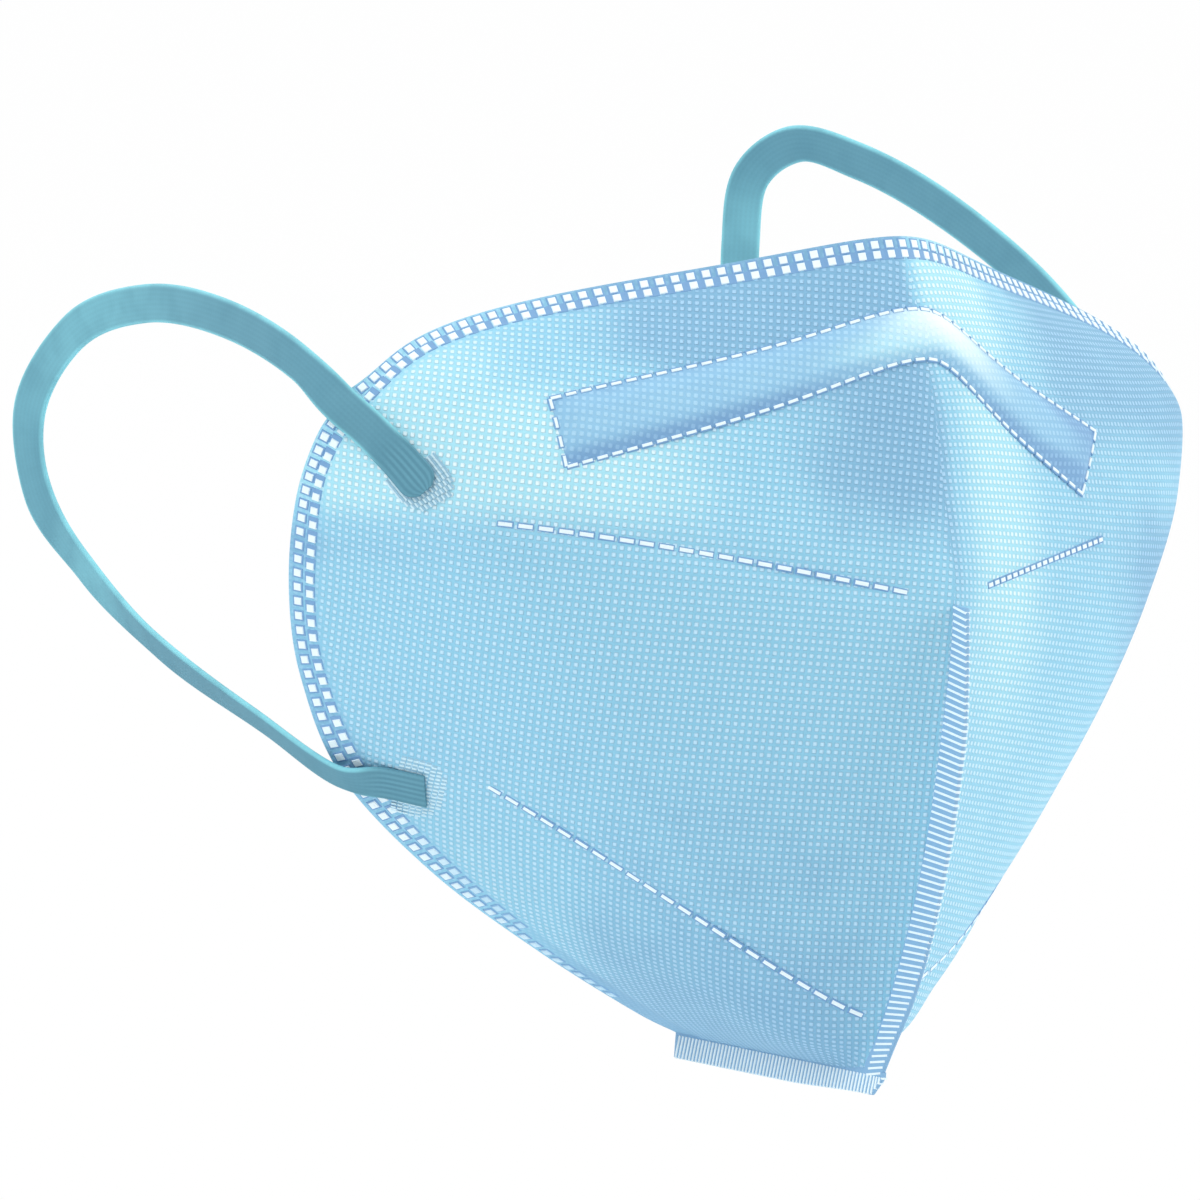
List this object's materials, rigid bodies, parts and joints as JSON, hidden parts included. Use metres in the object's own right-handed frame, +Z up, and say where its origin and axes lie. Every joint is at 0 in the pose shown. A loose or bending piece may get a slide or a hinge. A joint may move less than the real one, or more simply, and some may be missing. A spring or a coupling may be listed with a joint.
{
  "type": "disposable vertical-fold respirator with ear loops",
  "caption": "Vertical-fold cloth respirator with a welded front and chin seam, a nose strip and flat elastic ear loops.",
  "frame": {"origin": "face seat: on the middle plane, halfway between the top edge over the nose bridge and the back of the chin seam", "axes": "+Z up, +Y back towards the wearer's face, +X towards the wearer's left"},
  "size_m": [0.1935, 0.1752, 0.1516],
  "materials": {
    "nonwoven": "light blue nonwoven cloth with a fine raised dot pattern, matt",
    "strip_cover": "the same nonwoven pressed smooth over the nose clip, with a welded outline",
    "weld_fin": "nonwoven pressed flat in a rib pattern, slightly glossy",
    "elastic": "fine knitted flat elastic in grey teal, matt with pale selvedges"
  },
  "bodies": {
    "root": {"mask_body": "nonwoven", "nose_strip": "strip_cover", "front_seam": "weld_fin", "chin_seam": "weld_fin", "ear_loop_right": "elastic", "ear_loop_left": "elastic"}
  },
  "joints": []
}
